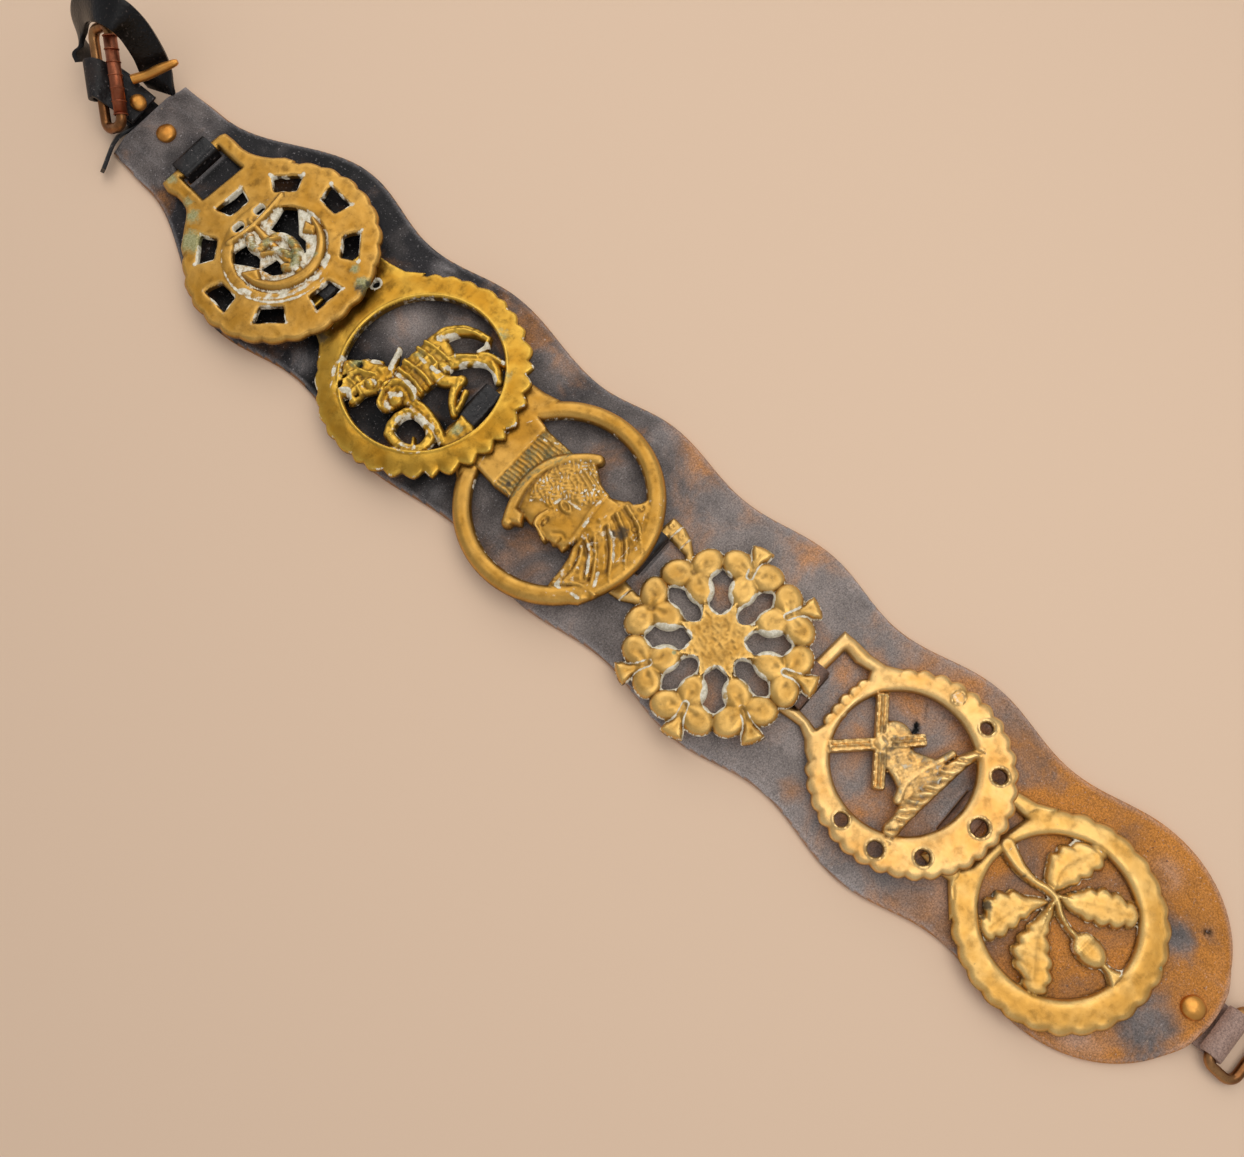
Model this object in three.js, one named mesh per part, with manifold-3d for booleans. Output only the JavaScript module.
// Harness strap hung with six horse brasses: one wide leather with a wavy edge, one narrow strap
// woven through it over every brass's hanger, rivets, a buckle with a leather loop, and a link.
// Millimetres. +Y runs along the strap to the buckle, +X to the right, +Z up out of the faces.
import * as THREE from 'three';
import { mergeVertices } from 'three/addons/utils/BufferGeometryUtils.js';
import Module from 'manifold-3d';

const wasm = await Module();
wasm.setup();

// ---- driving dimensions -------------------------------------------------------------------
const gap = 0.3;                 // air between touching pieces
const strapWidth = 16.6;          // narrow strap
const strapThick = 1.8;
const strapEnd = -1.2;           // its centre line at both rivets
const strapBow = 2.6;            // sideways bow of the strap halfway along
const hideThick = 2.6;           // wide leather
const hideLift = strapThick + gap;      // the wide leather rides on the strap in the middle
const hideTop = hideLift + hideThick;
const hideShelf = 11.5;          // half width of the flat middle that rides on the strap
const hideNorth = 253;
const hideSouth = -251.5;
const hideBow = 4.1;             // the long leather has taken a slight sideways bow
const restZ = hideTop + gap;     // underside of a hanger bar
const barThick = 2.2;            // hanger bar
const barWide = 4.4;
const rivetR = 4;
const rivetShank = 1.6;
const rivetY = [243.2, -243.7];
const linkWire = 3.4;
const rollY = -255.8;            // the strap's end rolls round the link here
const rollZ = 4.05;
const frameWire = 4;
const chapeLean = 21;            // the fold's upper ply slopes down from the buckle, in degrees
const chapeTop = 8.9;

// waist and bulge stations of the wide leather: [y, half width]
const wave = [[-207, 41.3], [-173, 36.3], [-136, 43], [-99, 37], [-63, 43.2], [-28, 38.4],
  [9, 43.2], [43, 37.4], [88, 43.2], [129, 36.4], [169, 43.3], [235, 21.2], [hideNorth, 20]];

const strapLine = (y) => strapEnd - strapBow * Math.max(0, 1 - (y / 245) ** 2);

// ---- small geometry helpers -----------------------------------------------------------------
const turnTo = (a) => [Math.cos(a), Math.sin(a)];
const rad = (degrees) => degrees * Math.PI / 180;
const v2 = (x, y) => new THREE.Vector2(x, y);
const v3 = (x, y, z) => new THREE.Vector3(x, y, z);

function toSolid(geometry) {
  const g = geometry.clone();
  g.deleteAttribute('normal');
  g.deleteAttribute('uv');
  const merged = mergeVertices(g, 1e-4);
  return new wasm.Manifold(new wasm.Mesh({
    numProp: 3,
    vertProperties: new Float32Array(merged.attributes.position.array),
    triVerts: new Uint32Array(merged.index.array),
  }));
}

function toGeometry(solid) {
  const mesh = solid.getMesh();
  const g = new THREE.BufferGeometry();
  g.setAttribute('position', new THREE.BufferAttribute(new Float32Array(mesh.vertProperties), 3));
  g.setIndex(new THREE.BufferAttribute(new Uint32Array(mesh.triVerts), 1));
  const flat = g.toNonIndexed();
  flat.computeVertexNormals();
  return flat;
}

const join = (solids) => solids.reduce((a, b) => a.add(b));

// straight-walled slab between two heights from a list of [x, y]
function slab(outline, z0, z1, holes = []) {
  const shape = new THREE.Shape(outline.map(([x, y]) => v2(x, y)));
  for (const hole of holes) shape.holes.push(new THREE.Path(hole.map(([x, y]) => v2(x, y))));
  const g = new THREE.ExtrudeGeometry(shape, { depth: z1 - z0, bevelEnabled: false, curveSegments: 1 });
  g.translate(0, 0, z0);
  return toSolid(g);
}

function box(x0, x1, y0, y1, z0, z1) {
  return slab([[x0, y0], [x1, y0], [x1, y1], [x0, y1]], z0, z1);
}

// closed ring of points around a centre, radius as a function of the angle
function around(count, radius, cx = 0, cy = 0, phase = 0) {
  return Array.from({ length: count }, (_, i) => {
    const a = phase + 2 * Math.PI * i / count;
    const r = typeof radius === 'function' ? radius(a) : radius;
    return [cx + r * Math.cos(a), cy + r * Math.sin(a)];
  });
}

// scalloped edge: round teeth with sharp notches
const scallops = (r, count, depth, phase = 0) => (a) =>
  r - depth * (1 - Math.abs(Math.cos((a - phase) * count / 2)));

// ellipse lying at an angle
function oval(cx, cy, rx, ry, degrees, count) {
  const [c, s] = turnTo(rad(degrees));
  return around(count, 1).map(([u, v]) => [cx + rx * u * c - ry * v * s, cy + rx * u * s + ry * v * c]);
}

// low cushion: an oval slab with a sloping shoulder
function cushion(cx, cy, rx, ry, degrees, z0, z1, count = 8) {
  const lower = oval(cx, cy, rx, ry, degrees, count);
  const upper = oval(cx, cy, rx * 0.66, ry * 0.66, degrees, count);
  return loft([[lower, z0], [upper, z1]]);
}

// closed solid through a stack of outlines with the same number of points
function loft(levels) {
  const n = levels[0][0].length;
  const position = [];
  const index = [];
  for (const [outline, z] of levels) for (const [x, y] of outline) position.push(x, y, z);
  for (let k = 0; k + 1 < levels.length; k++) {
    for (let i = 0; i < n; i++) {
      const a = k * n + i;
      const b = k * n + (i + 1) % n;
      index.push(a, b, b + n, a, b + n, a + n);
    }
  }
  const cap = (k, up) => {
    const flat = levels[k][0].map(([x, y]) => v2(x, y));
    for (const [a, b, c] of THREE.ShapeUtils.triangulateShape(flat, [])) {
      const o = k * n;
      if (up) index.push(o + a, o + b, o + c);
      else index.push(o + a, o + c, o + b);
    }
  };
  cap(0, false);
  cap(levels.length - 1, true);
  const g = new THREE.BufferGeometry();
  g.setAttribute('position', new THREE.Float32BufferAttribute(position, 3));
  g.setIndex(index);
  return toSolid(g);
}

// ring of metal with its own section: rows of [radius function or number, z], closed around
function ringSolid(rows, count, cx = 0, cy = 0) {
  const position = [];
  const index = [];
  for (const [radius, z, dx = 0, dy = 0] of rows) {
    for (const [x, y] of around(count, radius, cx + dx, cy + dy)) position.push(x, y, z);
  }
  for (let k = 0; k < rows.length; k++) {
    for (let i = 0; i < count; i++) {
      const a = k * count + i;
      const b = k * count + (i + 1) % count;
      const c = ((k + 1) % rows.length) * count + (i + 1) % count;
      const d = ((k + 1) % rows.length) * count + i;
      index.push(a, b, c, a, c, d);
    }
  }
  const g = new THREE.BufferGeometry();
  g.setAttribute('position', new THREE.Float32BufferAttribute(position, 3));
  g.setIndex(index);
  return toSolid(g);
}

// round bar along a smooth path
function rod(points, radius, sides, steps, closed = false) {
  const path = new THREE.CatmullRomCurve3(points.map((p) => v3(...p)), closed, 'centripetal');
  const shape = new THREE.Shape(around(sides, radius).map(([x, y]) => v2(x, y)));
  return toSolid(new THREE.ExtrudeGeometry(shape, { extrudePath: path, steps, bevelEnabled: false }));
}

// tapered flat bar between two points in the plane
function bar(x0, y0, x1, y1, w0, w1, z0, z1) {
  const l = Math.hypot(x1 - x0, y1 - y0);
  const nx = -(y1 - y0) / l / 2;
  const ny = (x1 - x0) / l / 2;
  return slab([[x0 - nx * w0, y0 - ny * w0], [x1 - nx * w1, y1 - ny * w1],
    [x1 + nx * w1, y1 + ny * w1], [x0 + nx * w0, y0 + ny * w0]], z0, z1);
}

// flat band that follows a smooth line in the plane, with a width for each end
function band(points, w0, w1, z0, z1, steps = 10) {
  const line = new THREE.SplineCurve(points.map(([x, y]) => v2(x, y)));
  const left = [];
  const right = [];
  for (let i = 0; i <= steps; i++) {
    const t = i / steps;
    const p = line.getPoint(t);
    const d = line.getTangent(t);
    const w = (w0 + (w1 - w0) * t) / 2;
    left.push([p.x - d.y * w, p.y + d.x * w]);
    right.push([p.x + d.y * w, p.y - d.x * w]);
  }
  return slab(left.concat(right.reverse()), z0, z1);
}

// leather ribbon: rows of [centre, width direction], constant width and thickness
function ribbon(rows, width, thick, steps) {
  const middle = new THREE.CatmullRomCurve3(rows.map((r) => v3(...r[0])), false, 'centripetal');
  const across = new THREE.CatmullRomCurve3(rows.map((r) => v3(...r[1])), false, 'centripetal');
  const position = [];
  const index = [];
  for (let i = 0; i <= steps; i++) {
    const p = middle.getPoint(i / steps);
    const t = middle.getTangent(i / steps);
    const w = across.getPoint(i / steps);
    w.addScaledVector(t, -w.dot(t)).normalize();
    const n = new THREE.Vector3().crossVectors(w, t).normalize();
    for (const [a, b] of [[-1, -1], [1, -1], [1, 1], [-1, 1]]) {
      const q = p.clone().addScaledVector(w, a * width / 2).addScaledVector(n, b * thick / 2);
      position.push(q.x, q.y, q.z);
    }
  }
  for (let i = 0; i < steps; i++) {
    for (let k = 0; k < 4; k++) {
      const a = i * 4 + k;
      const b = i * 4 + (k + 1) % 4;
      index.push(a, b + 4, b, a, a + 4, b + 4);
    }
  }
  const e = steps * 4;
  index.push(0, 1, 2, 0, 2, 3, e, e + 2, e + 1, e, e + 3, e + 2);
  const g = new THREE.BufferGeometry();
  g.setAttribute('position', new THREE.Float32BufferAttribute(position, 3));
  g.setIndex(index);
  const solid = toSolid(g);
  if (solid.volume() > 0) return solid;
  for (let i = 0; i < index.length; i += 3) [index[i + 1], index[i + 2]] = [index[i + 2], index[i + 1]];
  g.setIndex(index);
  return toSolid(g);
}

// ---- hanger common to the brasses -------------------------------------------------------------
// square loop above the disc: two posts and a bar, all flat
function hanger(barY, baseY, halfOut, halfIn, lean = 0) {
  const top = barY + barWide / 2;
  const under = barY - barWide / 2;
  return [
    slab([[-halfOut, under], [halfOut, under], [halfOut, top - 1.2], [halfOut - 1.2, top],
      [-halfOut + 1.2, top], [-halfOut, top - 1.2]], 0, barThick),
    slab([[-halfOut - lean, baseY], [-halfIn, baseY], [-halfIn, under + 0.5], [-halfOut, under + 0.5]],
      0, barThick),
    slab([[halfIn, baseY], [halfOut + lean, baseY], [halfOut, under + 0.5], [halfIn, under + 0.5]],
      0, barThick),
  ];
}

// ---- brass 1: pierced disc with a fouled anchor --------------------------------------------
const anchorBrass = { x: -8, y: 167.8, turn: -4.5, slope: 0.0605, barY: 56.6, r: 38.7 };
function makeAnchorBrass(b) {
  const windowIn = 25.2;
  const windowOut = 31.2;
  const holes = Array.from({ length: 8 }, (_, i) => {
    const [c, s] = turnTo(rad(90 + 45 * i));
    return [[windowIn, -4.1], [windowOut, -6], [windowOut, 6], [windowIn, 4.1]]
      .map(([u, v]) => [u * c - v * s, u * s + v * c]);
  });
  holes.push(around(24, 18.2));
  const disc = slab(around(48, scallops(b.r, 24, 0.9)), 0, 2.2, holes);
  const ring = ringSolid([[18.2, 1], [21.6, 1], [19.9, 3.3]], 24);
  const arms = 8;
  const crescent = (r0, r1, z1) => {
    const outer = [];
    const inner = [];
    for (let i = 0; i <= arms; i++) {
      const t = i / arms;
      const a = rad(196 + 150 * t);
      const swell = Math.sin(Math.PI * t);
      outer.push([(r0 + 0.6) * Math.cos(a), 1.5 + (r0 + 0.6) * Math.sin(a)]);
      inner.push([(r0 - 0.8 - r1 * swell) * Math.cos(a), 1.5 + (r0 - 0.8 - r1 * swell) * Math.sin(a)]);
    }
    return slab(outer.concat(inner.reverse()), 0.6, z1);
  };
  const fluke = (side) => slab([[side * 17.5, 4.5], [side * 10.2, 2.2], [side * 14.4, -5.5]]
    .sort((p, q) => side * (q[1] - p[1])), 0.6, 3);
  return join([disc, ring, crescent(17, 3, 3), fluke(1), fluke(-1),
    bar(-15.5, 15.6, 15.5, 15.6, 2.6, 2.6, 0.6, 3.6),
    bar(0, 19, 0, -15, 3, 3.8, 0.6, 2.9),
    rod([[-8, 9.2, 2.4], [-2, 10.2, 3], [4.6, 6, 3.2], [4.4, 0, 3], [-2.6, -2.6, 3.2], [-4.6, -7, 2.8],
      [1.5, -10, 2.4]], 1.4, 5, 8),
    ...hanger(b.barY, 33, 17.6, 11.4, 4)]);
}

// ---- brass 2: toothed ring with a harnessed horse ------------------------------------------
const horseBrass = { x: -8.3, y: 91.2, turn: -3.8, slope: 0.0575, barY: 53.5, r: 41.4 };
function makeHorseBrass(b) {
  const teeth = 30;
  const edge = (r, depth) => scallops(r, teeth, depth, rad(3));
  const ring = ringSolid([[30.8, 0], [edge(b.r, 2.2), 0.8], [33.4, 3.5]], 60);
  const body = slab(oval(2, 5.5, 17.5, 6.6, -6, 14), 0, 2.6);
  const limb = (points, w0, w1, steps) => band(points, w0, w1, 0, 2.6, steps);
  return join([ring, body,
    limb([[-9, 8], [-15, 15], [-21, 21]], 12, 7, 2), limb([[-27.5, 24.5], [-22, 27], [-17, 22]], 3, 6, 4),
    limb([[-14, -1], [-21, -4], [-27, -8], [-25, -17], [-17, -20.5]], 4.6, 3.6, 8),
    limb([[-12, 0], [-13, -8], [-15.5, -14], [-18.5, -22], [-20, -26]], 6, 4, 4),
    limb([[12, 0], [18, -7], [21, -15], [19.5, -27]], 9, 3.6, 5),
    limb([[16, 8], [24, 3], [27, -6], [24.5, -8]], 6.5, 2.6, 6),
    limb([[8, -12], [0, -14], [-6, -19]], 3.4, 4.6, 3), limb([[4, 2], [5, -6], [7, -12.5]], 5, 3.4, 2),
    slab([[-21, -24.5], [-3.5, -26], [-3.5, -33], [-22, -30]].reverse(), 0, 2.6),
    cushion(-22.5, 18.5, 5.4, 3.2, 36, 2, 3.6, 6), cushion(-14, 3.4, 5.2, 6, 0, 2, 3.9, 6),
    cushion(-1, 6, 9, 5, -6, 2, 3.8, 8), cushion(12.5, 4.4, 6.6, 5.8, 0, 2, 3.7, 6),
    ...hanger(b.barY, 34, 18, 11.5, 3)]);
}

// ---- brass 3: plain ring with the bust of a man in a tall hat ------------------------------
const hatBrass = { x: -11.2, y: 20.9, turn: -9.5, slope: 0.06, barY: 47, r: 38.5 };
function makeHatBrass(b) {
  const ring = ringSolid([[31.4, 0], [b.r, 0.9], [36.4, 3.1], [32.6, 3]], 36);
  // head height from brim to chin, split in equal thirds: brow, nose base, chin
  const chinY = -15;
  const third = 7;
  const brow = chinY + 2 * third;
  const nose = chinY + third;
  const bust = slab([[-12.5, 8], [-13.4, brow + 2], [-13.2, brow], [-15.8, nose + 1], [-13.6, nose],
    [-14.2, nose - 2.4], [-13.2, nose - 3.6], [-13.6, chinY + 0.6], [-11, chinY], [-8, chinY + 0.8],
    [-9, -19], [-24, -20.5], [-26, -24], [-14, -33], [0, -36], [12, -33.5], [20, -28], [16, -22],
    [13, -17], [12.2, -13], [14.5, -9], [17, -3], [18, 4], [10, 10], [0, 13], [-8, 11.5]]
    .reverse(), 0, 2.4);
  const crown = slab([[-11.4, 12], [-12, 22], [-10, 33.5], [18, 33.5], [17.2, 22], [16, 8]]
    .reverse(), 0, 2.6);
  const hatBand = band([[-11.6, 19.4], [2, 21], [16.8, 18.6]], 5.4, 5.4, 2, 3.2, 6);
  const brim = band([[-19.4, 6.6], [-12, 11.4], [-2, 13.8], [8, 12.6], [15, 7.6], [20.4, -1]],
    2.6, 3.6, 0, 4.2, 9);
  const figure = join([bust, crown, hatBand, brim,
    cushion(-3, -3, 10, 10.5, 0, 2, 3.6, 9),
    cushion(9.5, -3.5, 5.5, 8.5, -14, 2, 3.9, 7),
    cushion(-4.5, -5, 3.4, 4.4, 0, 3, 4.4, 6),
    band([[-21, -24], [-12, -24], [-2, -18], [8, -13.5]], 2.4, 3.2, 2, 3.6, 8),
    band([[-12, -31], [-2, -26], [10, -20]], 2.4, 3, 2, 3.4, 6)]);
  // the ring hangs askew and the bust stands upright in it
  return join([ring, figure.rotate([0, 0, -b.turn]), ...hanger(b.barY, 33, 20, 12.8, 2)]);
}

// ---- brass 4: eight-pointed star ringed with shamrocks ---------------------------------------
const shamrockBrass = { x: -13, y: -54.5, turn: -8, slope: 0.0665, barY: 41.8, r: 37 };
function makeShamrockBrass(b) {
  const leafR = 25.2;
  const pieces = [];
  const webHoles = [];
  for (let i = 0; i < 8; i++) {
    const at = rad(22.5 + 45 * i);
    const [c, s] = turnTo(at);
    const [px, py] = [leafR * c, leafR * s];
    for (const swing of [180, 72, -72]) {
      const [lc, ls] = turnTo(at + rad(swing));
      pieces.push(cushion(px + 5.4 * lc, py + 5.4 * ls, 5.4, 4.6, 22.5 + 45 * i + swing, 0, 3.5, 6));
    }
    if (i !== 1 && i !== 2) {
      pieces.push(bar(px, py, px + 12 * c, py + 12 * s, 1.6, 7.4, 0, 2.6));
    }
    const [gc, gs] = turnTo(at + rad(22.5));
    webHoles.push(oval(15.6 * gc, 15.6 * gs, 7, 3.4, 45 + 45 * i, 4));
  }
  const web = slab(around(16, 23.5), 0, 1.4, webHoles);
  const star = loft([[around(16, (a) => (Math.round((a - rad(22.5)) / rad(22.5)) % 2 ? 9.6 : 19), 0, 0,
    rad(22.5)), 0], [around(16, (a) => (Math.round((a - rad(22.5)) / rad(22.5)) % 2 ? 9.2 : 18.4), 0, 0,
    rad(22.5)), 2.9]]);
  const horn = (side) => band([[side * 10.5, 27], [side * 15.8, 31], [side * 15.6, b.barY - 1]],
    4, 6, 0, 2.2, 6);
  return join([web, star, ...pieces, horn(1), horn(-1),
    box(-18, 18, b.barY - barWide / 2, b.barY + barWide / 2, 0, barThick)]);
}

// ---- brass 5: notched ring with drilled holes and a windmill ---------------------------------
const millBrass = { x: -3.1, y: -131.1, turn: -4.5, slope: 0.0705, barY: 45.4, r: 34.9 };
function makeMillBrass(b) {
  const openR = 23.8;
  const openY = 4.2;
  const ring = slab(around(68, scallops(b.r, 34, 1.3)), 0, 2.4, [around(30, openR, 0, openY)]);
  const drill = (deg, r) => toSolid(new THREE.CylinderGeometry(2.4, 2.4, 8, 8).rotateX(Math.PI / 2)
    .translate(r * turnTo(rad(deg))[0], r * turnTo(rad(deg))[1], 1));
  const hub = [0.6, 12.6];
  const sail = (deg, length) => {
    const [c, s] = turnTo(rad(deg));
    return bar(hub[0], hub[1], hub[0] + length * c, hub[1] + length * s, 4.2, 4.6, 0.4, 3);
  };
  const mound = band([[-21.6, -6.5], [-15, -5.4], [-4, -8], [8, -10.5], [20.5, -10.5]], 5.6, 7.2, 0, 2.9, 6);
  const tower = slab([[-3.6, 9], [3.8, 9], [10.5, -9], [-9.5, -7]].reverse(), 0, 2.4);
  const plate = join([ring, mound, tower, sail(134, 18), sail(46, 17), sail(222, 15), sail(-44, 15),
    cushion(hub[0], hub[1], 2.6, 2.6, 0, 2, 3.8), cushion(-19, -5.6, 3.4, 2.8, 20, 0, 3.6),
    ...hanger(b.barY, 28.5, 18, 12.6, 1.5)]);
  return [[196, 29.4], [229, 29.4], [272, 29.6], [312, 29], [344, 28.6], [169, 29.6]]
    .reduce((solid, [deg, r]) => solid.subtract(drill(deg, r)), plate);
}

// ---- brass 6: softly scalloped ring with a sprig of oak -----------------------------------------
const oakBrass = { x: -8, y: -196.5, turn: -5, slope: 0, barY: 43, r: 35.2 };
function makeOakBrass(b) {
  const openX = 0.8;
  const openY = 1.6;
  const ring = ringSolid([[25.5, 0, openX, openY], [scallops(b.r, 28, 0.9), 0.9],
    [26.6, 2.9, openX, openY]], 56);
  const leaf = (x0, y0, x1, y1, wide, side) => {
    const l = Math.hypot(x1 - x0, y1 - y0);
    const [c, s] = [(x1 - x0) / l, (y1 - y0) / l];
    const count = 7;
    const rows = (k) => Array.from({ length: count + 1 }, (_, i) => {
      const t = i / count;
      const lobe = 0.82 + 0.18 * Math.cos(2 * Math.PI * (t * 3 - 0.4));
      return [l * t, k * wide * lobe * Math.sin(Math.PI * Math.min(1, t * 0.86 + 0.1)) * (k === side ? 1 : 0.72)];
    });
    return slab(rows(1).reverse().concat(rows(-1)).map(([u, v]) => [x0 + u * c - v * s, y0 + u * s + v * c]),
      0, 2.9);
  };
  return join([ring,
    band([[6.5, 27.5], [2.5, 22], [4, 15], [3, 8], [-1, 1.5], [-2.4, -6]], 4, 3, 0, 3, 14),
    leaf(2, 8, -19, 15.5, 4.8, 1), leaf(1.5, 6.5, -23.5, -4.5, 5.2, -1),
    leaf(3, 8.5, 26, 4, 6, 1), leaf(2, 5.5, 16, -16.5, 5, -1),
    cushion(-2.6, -10.5, 4.6, 6, 0, 0, 3.6, 10),
    band([[-2.8, -14], [-3.4, -20], [-3.6, -25]], 3, 4, 0, 2.6, 4),
    ...hanger(b.barY, 27.5, 18, 12, 2)]);
}

// ---- the wide leather ---------------------------------------------------------------------------
const bow = (y) => -hideBow * (1 - ((y - 20) / 262) ** 2);
function halfWidth(y) {
  if (y < wave[0][0]) {
    const t = (wave[0][0] - y) / (wave[0][0] - hideSouth);
    return Math.max(2.5, wave[0][1] * Math.sqrt(Math.max(0, 1 - t * t)));
  }
  const k = wave.findIndex(([wy]) => wy >= y);
  if (k < 1) return wave[0][1];
  const [[y0, w0], [y1, w1]] = [wave[k - 1], wave[k]];
  const t = (y - y0) / (y1 - y0);
  return w0 + (w1 - w0) * (1 - Math.cos(Math.PI * t)) / 2;
}
// the middle rides on the strap, the sides droop to the ground
function droop(x, y) {
  const t = (Math.abs(x - strapLine(y)) - hideShelf) / (Math.max(halfWidth(y), 20) - hideShelf - 2);
  return hideLift * (1 - Math.min(1, Math.max(0, t)));
}
function makeHide() {
  const stations = [];
  for (let y = hideNorth; y > -206; y -= 12.4) stations.push(y);
  for (const t of [0.03, 0.25, 0.45, 0.63, 0.78, 0.89, 0.965, 1]) {
    stations.push(wave[0][0] + (hideSouth - wave[0][0]) * t);
  }
  const position = [];
  const index = [];
  const n = 4;
  for (const top of [0, 1]) {
    for (const y of stations) {
      const [left, right] = [bow(y) - halfWidth(y), bow(y) + halfWidth(y)];
      const inside = (x) => Math.min(Math.max(x, left + 0.4), right - 0.4);
      for (const x of [left, inside(strapLine(y) - hideShelf), inside(strapLine(y) + hideShelf), right]) {
        position.push(x, y, droop(x, y) + top * hideThick);
      }
    }
  }
  const layer = stations.length * n;
  for (let j = 0; j + 1 < stations.length; j++) {
    for (let i = 0; i + 1 < n; i++) {
      const a = j * n + i;
      index.push(a, a + 1, a + n + 1, a, a + n + 1, a + n);
      index.push(layer + a, layer + a + n + 1, layer + a + 1, layer + a, layer + a + n, layer + a + n + 1);
    }
    for (const [a, flip] of [[j * n, 0], [j * n + n - 1, 1]]) {
      const quad = [a, a + n, layer + a + n, a, layer + a + n, layer + a];
      if (flip) index.push(quad[0], quad[2], quad[1], quad[3], quad[5], quad[4]);
      else index.push(...quad);
    }
  }
  for (const [row, flip] of [[0, 1], [stations.length - 1, 0]]) {
    for (let i = 0; i + 1 < n; i++) {
      const a = row * n + i;
      const quad = [a, a + 1, layer + a + 1, a, layer + a + 1, layer + a];
      if (flip) index.push(quad[0], quad[2], quad[1], quad[3], quad[5], quad[4]);
      else index.push(...quad);
    }
  }
  const g = new THREE.BufferGeometry();
  g.setAttribute('position', new THREE.Float32BufferAttribute(position, 3));
  g.setIndex(index);
  let hide = toSolid(g);
  for (const y of barYs) {
    for (const side of [slitUp, -slitDown]) {
      const mid = y + side;
      const reach = strapWidth / 2 + gap + 0.1;
      hide = hide.subtract(box(strapLine(mid) - reach, strapLine(mid) + reach,
        mid - slitWide / 2, mid + slitWide / 2, -1, hideTop + 2));
    }
  }
  for (const y of rivetY) hide = hide.subtract(pin(strapLine(y), y, rivetShank + gap + 0.1, -1, hideTop + 2));
  return hide;
}

// ---- the narrow strap ---------------------------------------------------------------------------
const brasses = [['brass_anchor', anchorBrass, makeAnchorBrass], ['brass_horse', horseBrass, makeHorseBrass],
  ['brass_hat', hatBrass, makeHatBrass], ['brass_shamrock', shamrockBrass, makeShamrockBrass],
  ['brass_mill', millBrass, makeMillBrass], ['brass_oak', oakBrass, makeOakBrass]];
const barYs = brasses.map(([, b]) => b.y + b.barY * Math.cos(rad(b.turn)));
const slitWide = strapThick + 2 * gap;
const slitUp = barWide / 2 + gap + 2.2 + strapThick / 2;       // clear of a bar that hangs askew
const slitDown = slitUp;
const keeperTop = restZ + barThick + gap + 0.2;        // underside of the strap over a bar

function pin(x, y, r, z0, z1, sides = 10) {
  return toSolid(new THREE.CylinderGeometry(r, r, z1 - z0, sides).rotateX(Math.PI / 2)
    .translate(x, y, (z0 + z1) / 2));
}

// stands a solid made round the z axis on the sloping upper ply of the buckle's fold
const lean = (solid) => solid.rotate([chapeLean, 0, 0]).translate([0.1, 258.8, chapeTop]);

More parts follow.
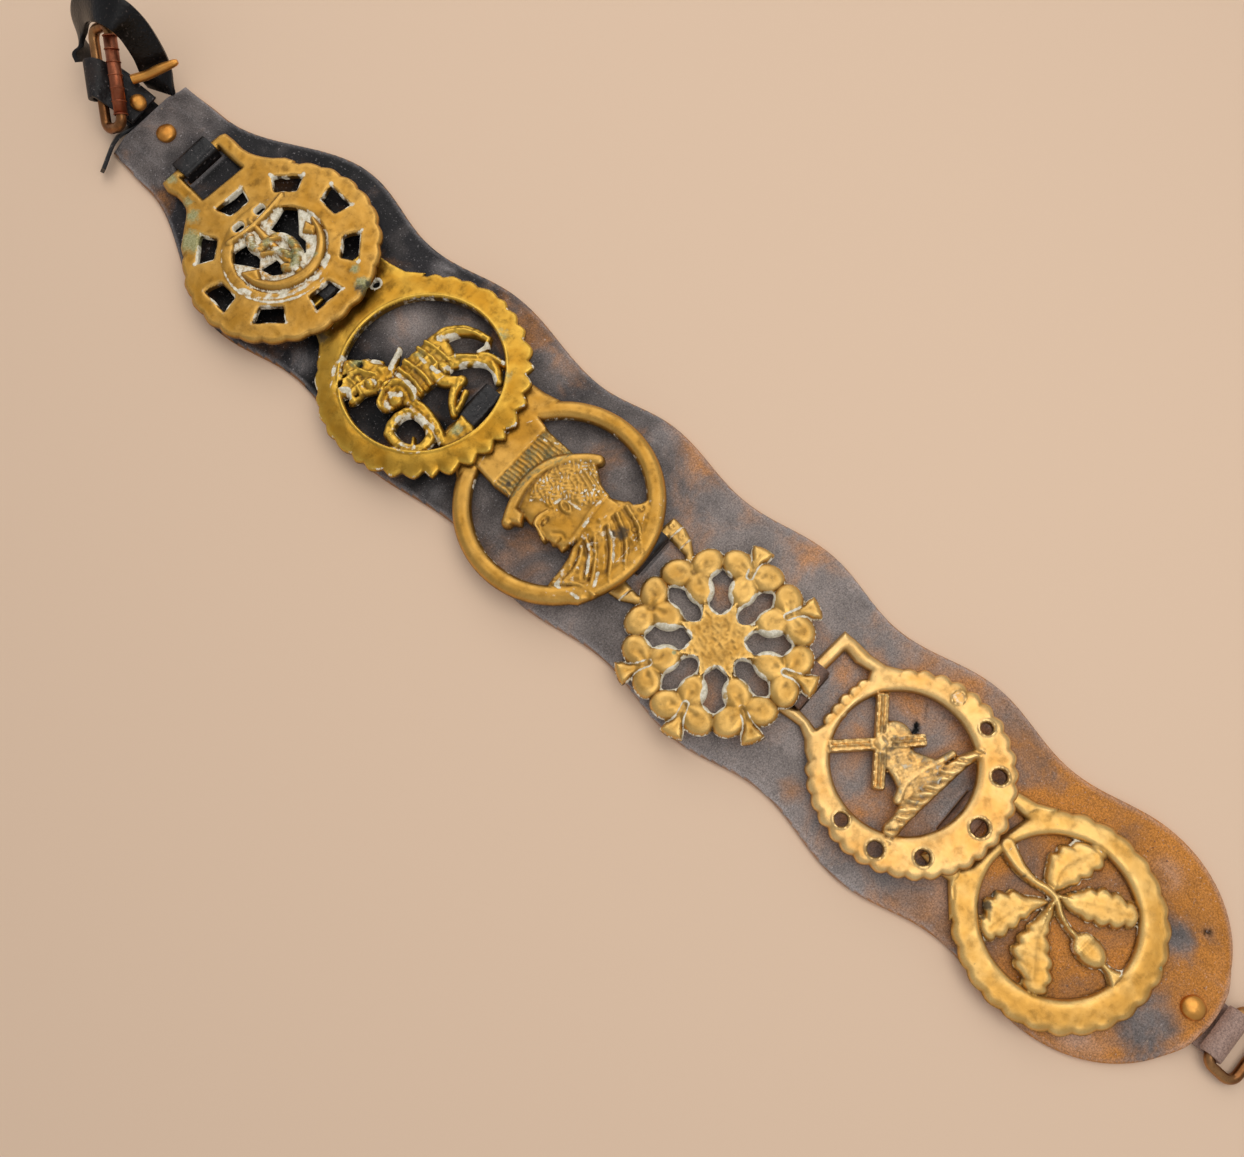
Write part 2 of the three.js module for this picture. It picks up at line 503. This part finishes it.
function makeStrap() {
  const rollR = linkWire / 2 + gap + 0.15 + strapThick / 2;
  const centre = [[256, strapThick / 2]];
  const high = keeperTop + strapThick / 2;
  for (const y of barYs) {
    const up = y + slitUp;
    const down = y - slitDown;
    centre.push([up + 1.2, strapThick / 2], [up, strapThick / 2 + 1], [up, high - 1], [up - 1.2, high],
      [down + 1.2, high], [down, high - 1], [down, strapThick / 2 + 1], [down - 1.2, strapThick / 2]);
  }
  for (let i = 0; i <= 8; i++) {
    const a = rad(-90 - 262 * i / 8);
    centre.push([rollY + rollR * Math.cos(a), rollZ + rollR * Math.sin(a)]);
  }
  const half = strapThick / 2;
  const one = [];
  const two = [];
  centre.forEach(([y, z], i) => {
    const [ay, az] = centre[Math.max(0, i - 1)];
    const [by, bz] = centre[Math.min(centre.length - 1, i + 1)];
    const into = v2(y - ay, z - az);
    const out = v2(by - y, bz - z);
    if (into.length() === 0) into.copy(out);
    if (out.length() === 0) out.copy(into);
    into.normalize();
    out.normalize();
    const t = into.clone().add(out).normalize();
    const stretch = 1 / Math.max(0.75, Math.abs(t.dot(out)));
    one.push([y - t.y * half * stretch, z + t.x * half * stretch]);
    two.push([y + t.y * half * stretch, z - t.x * half * stretch]);
  });
  const shape = new THREE.Shape(one.concat(two.reverse()).map(([y, z]) => v2(y, z)));
  const g = new THREE.ExtrudeGeometry(shape, { depth: strapWidth, bevelEnabled: false });
  // shape x -> world y, shape y -> world z, extrusion -> world x
  g.applyMatrix4(new THREE.Matrix4().makeBasis(v3(0, 1, 0), v3(0, 0, 1), v3(1, 0, 0)));
  const at = g.attributes.position;
  for (let i = 0; i < at.count; i++) at.setX(i, at.getX(i) - strapWidth / 2 + strapLine(at.getY(i)));
  let strap = toSolid(g);
  const wrap = frameWire / 2 + gap + 1.3 + strapThick / 2;
  const n = new THREE.Vector3().crossVectors(frameU, frameV).normalize();
  const rows = [[[strapEnd, 250, strapThick / 2], [1, 0, 0]], [[strapEnd, 255, strapThick / 2 + 0.3], [1, 0, 0]],
    [[-1.3, 260, 2.1], [0.99, 0.1, 0.05]], [[-1.1, 266, 3.5], [0.93, 0.1, 0.15]],
    [[0.1, 270.4, 5.3], [0.87, 0.2, 0.3]]];
  for (const deg of [90, 130, 170, 212, 260, 310]) {
    const [c, s] = turnTo(rad(deg));
    const p = heelMid.clone().addScaledVector(frameV, wrap * c).addScaledVector(n, wrap * s);
    rows.push([p.toArray(), frameU.toArray()]);
  }
  rows.push([[-2.8, 268.6, 12.2], [0.78, 0.52, 0.35]], [[-1.2, 262, 9], [0.97, 0.2, 0.1]],
    [[-0.6, 256.4, 6.8], [1, 0, 0]]);
  strap = strap.add(ribbon(rows, 14.2, strapThick, 23));
  // a torn strip of the strap's edge stands out to the left
  strap = strap.add(ribbon([[[-5, 257.4, 1.4], [0.1, 0.8, -0.1]], [[-9, 258.6, 2.6], [0.15, 0.8, -0.5]],
    [[-17, 258, 3.4], [0.15, 0.7, -0.7]], [[-29, 252, 3.2], [0.15, 0.7, -0.7]]], 5, 1.7, 6));
  for (const y of rivetY) strap = strap.subtract(pin(strapLine(y), y, rivetShank + gap, -1, hideTop));
  return strap.subtract(lean(pin(0, 0, rivetShank + gap, -12, 3, 8)));
}

// ---- buckle, its roller and tongue, and the leather loop --------------------------------------
const frameMid = v3(-1.6, 270.6, 15.4);
const frameU = v3(0.644, 0.63, 0.434).normalize();          // along the long sides
const frameV = v3(5.2, -6.45, 1.7).addScaledVector(v3(-0.152, -0.697, 0.70), 6);
frameV.addScaledVector(frameU, -frameV.dot(frameU)).normalize();
const frameLong = 37;                                        // between wire centres
const frameShort = 11;
const heelMid = frameMid.clone().addScaledVector(frameV, -frameShort / 2);
const rollerMid = frameMid.clone().addScaledVector(frameV, frameShort / 2);

// closed loop of wire: long side along u, short side along v, corner radii on the +v and -v sides
function roundLoop(mid, u, v, long, short, [cornerUp, cornerDown], radius, sides, perCorner) {
  const points = [];
  for (const [su, sv, a0] of [[1, 1, 0], [-1, 1, 90], [-1, -1, 180], [1, -1, 270]]) {
    const corner = sv > 0 ? cornerUp : cornerDown;
    for (let i = 0; i < perCorner; i++) {
      const [c, s] = turnTo(rad(a0 + 90 * i / (perCorner - 1)));
      points.push(mid.clone().addScaledVector(u, su * (long / 2 - corner) + corner * c)
        .addScaledVector(v, sv * (short / 2 - corner) + corner * s));
    }
  }
  const n = new THREE.Vector3().crossVectors(u, v).normalize();
  const position = [];
  const index = [];
  const count = points.length;
  points.forEach((p, i) => {
    const t = points[(i + 1) % count].clone().sub(points[(i + count - 1) % count]).normalize();
    const side = new THREE.Vector3().crossVectors(t, n).normalize();
    for (const [a, b] of around(sides, radius)) {
      const q = p.clone().addScaledVector(side, a).addScaledVector(n, b);
      position.push(q.x, q.y, q.z);
    }
  });
  for (let i = 0; i < count; i++) {
    for (let k = 0; k < sides; k++) {
      const a = i * sides + k;
      const b = i * sides + (k + 1) % sides;
      const c = ((i + 1) % count) * sides + (k + 1) % sides;
      const d = ((i + 1) % count) * sides + k;
      index.push(a, c, b, a, d, c);
    }
  }
  const g = new THREE.BufferGeometry();
  g.setAttribute('position', new THREE.Float32BufferAttribute(position, 3));
  g.setIndex(index);
  const solid = toSolid(g);
  if (solid.volume() > 0) return solid;
  for (let i = 0; i < index.length; i += 3) [index[i + 1], index[i + 2]] = [index[i + 2], index[i + 1]];
  g.setIndex(index);
  return toSolid(g);
}

function makeFrame() {
  return roundLoop(frameMid, frameU, frameV, frameLong, frameShort, [3.6, 3.6], frameWire / 2, 6, 3);
}

// coiled sleeve on the long side that faces up
function makeRoller() {
  const r = frameWire / 2;
  const length = frameLong - 8.4;
  const ribs = 7;
  const profile = [v2(r + gap, 0), v2(r + 0.9, 0)];
  for (let i = 1; i < ribs; i++) profile.push(v2(r + (i % 2 ? 1.25 : 0.95), length * i / ribs));
  profile.push(v2(r + 0.9, length), v2(r + gap, length), v2(r + gap, 0));
  const g = new THREE.LatheGeometry(profile, 8);
  const turn = new THREE.Quaternion().setFromUnitVectors(v3(0, 1, 0), frameU);
  g.applyQuaternion(turn);
  const start = rollerMid.clone().addScaledVector(frameU, -length / 2);
  g.translate(start.x, start.y, start.z);
  const solid = toSolid(g);
  return solid;
}

function makeTongue() {
  return rod([[4.4, 263.4, 14.6], [9.6, 260.6, 14.4], [14.4, 257.8, 15.4], [21.4, 254, 16.2]], 1.9, 6, 6);
}

function makeLoop() {
  return ribbon([[[11.3, 261.2, 3.2], [0.3, -0.95, 0]], [[12.2, 261.8, 6.5], [0.5, -0.85, 0]],
    [[14.4, 263.3, 10.5], [0.78, -0.6, 0]], [[16.3, 265.2, 17], [0.82, -0.57, 0]],
    [[17.2, 268.4, 26.5], [0.94, -0.33, 0.09]], [[15.8, 272, 33.6], [0.86, 0.12, 0.4]],
    [[13.6, 281, 33.4], [0.73, 0.3, 0.55]], [[11.6, 291.5, 26.4], [0.6, 0.45, 0.62]],
    [[7.6, 296, 18.4], [0.55, 0.55, 0.6]], [[3.4, 295, 11.4], [0.6, 0.6, 0.45]],
    [[-0.2, 291.4, 6.8], [0.7, 0.6, 0.3]]], 12.6, 2.2, 18);
}

function makeLink() {
  const far = 11.2;
  const tilt = Math.asin(2.2 / far);
  const mid = v3(strapEnd + 0.4, rollY - far / 2 * Math.cos(tilt), rollZ - far / 2 * Math.sin(tilt));
  return roundLoop(mid, v3(1, 0, 0), v3(0, Math.cos(tilt), Math.sin(tilt)), 21.2, far, [2.2, 5.2],
    linkWire / 2, 6, 3);
}

function makeRivet(x, y, z0, headZ, r = rivetR) {
  const dome = [v2(0, z0), v2(rivetShank, z0), v2(rivetShank, headZ + 0.1), v2(r, headZ + 0.1),
    v2(r - 0.2, headZ + 0.7), v2(r * 0.62, headZ + 1.7), v2(0, headZ + 2.2)];
  return toSolid(new THREE.LatheGeometry(dome, 8).rotateX(Math.PI / 2).translate(x, y, 0));
}

// ---- scene graph ------------------------------------------------------------------------------
const group = new THREE.Group();
function addMesh(name, solid, color, roughness, metalness, place) {
  const mesh = new THREE.Mesh(toGeometry(solid), new THREE.MeshStandardMaterial({ color, roughness, metalness }));
  mesh.name = name;
  if (place) place(mesh);
  group.add(mesh);
}

addMesh('hide_wide', makeHide(), 0x3a3431, 0.6, 0);
addMesh('strap_woven', makeStrap(), 0x2a2624, 0.55, 0);
const brassTone = [0xb88a3e, 0xa67a22, 0xb8893a, 0xbd9140, 0xd0a55c, 0xcfa25a];
brasses.forEach(([name, b, make], i) => {
  addMesh(name, make(b), brassTone[i], 0.35, 1, (mesh) => {
    mesh.rotation.set(-Math.atan(b.slope), 0, rad(b.turn));
    mesh.position.set(b.x, b.y, restZ + 0.1 + b.barY * b.slope);
  });
});
addMesh('rivet_north', makeRivet(strapLine(rivetY[0]), rivetY[0], 0.4, hideTop + gap), 0xb87333, 0.4, 1);
addMesh('rivet_south', makeRivet(strapLine(rivetY[1]), rivetY[1], 0.4, hideTop + gap), 0xb87333, 0.4, 1);
addMesh('rivet_chape', lean(makeRivet(0, 0, -7.4, gap, 3.2)), 0xb18a45, 0.4, 1);
addMesh('buckle_frame', makeFrame(), 0xa9853f, 0.4, 1);
addMesh('buckle_roller', makeRoller(), 0x8d4a33, 0.5, 1);
addMesh('buckle_tongue', makeTongue(), 0xb18a45, 0.35, 1);
addMesh('loop_leather', makeLoop(), 0x191716, 0.5, 0);
addMesh('link_ring', makeLink(), 0xb08a48, 0.35, 1);

export default group;
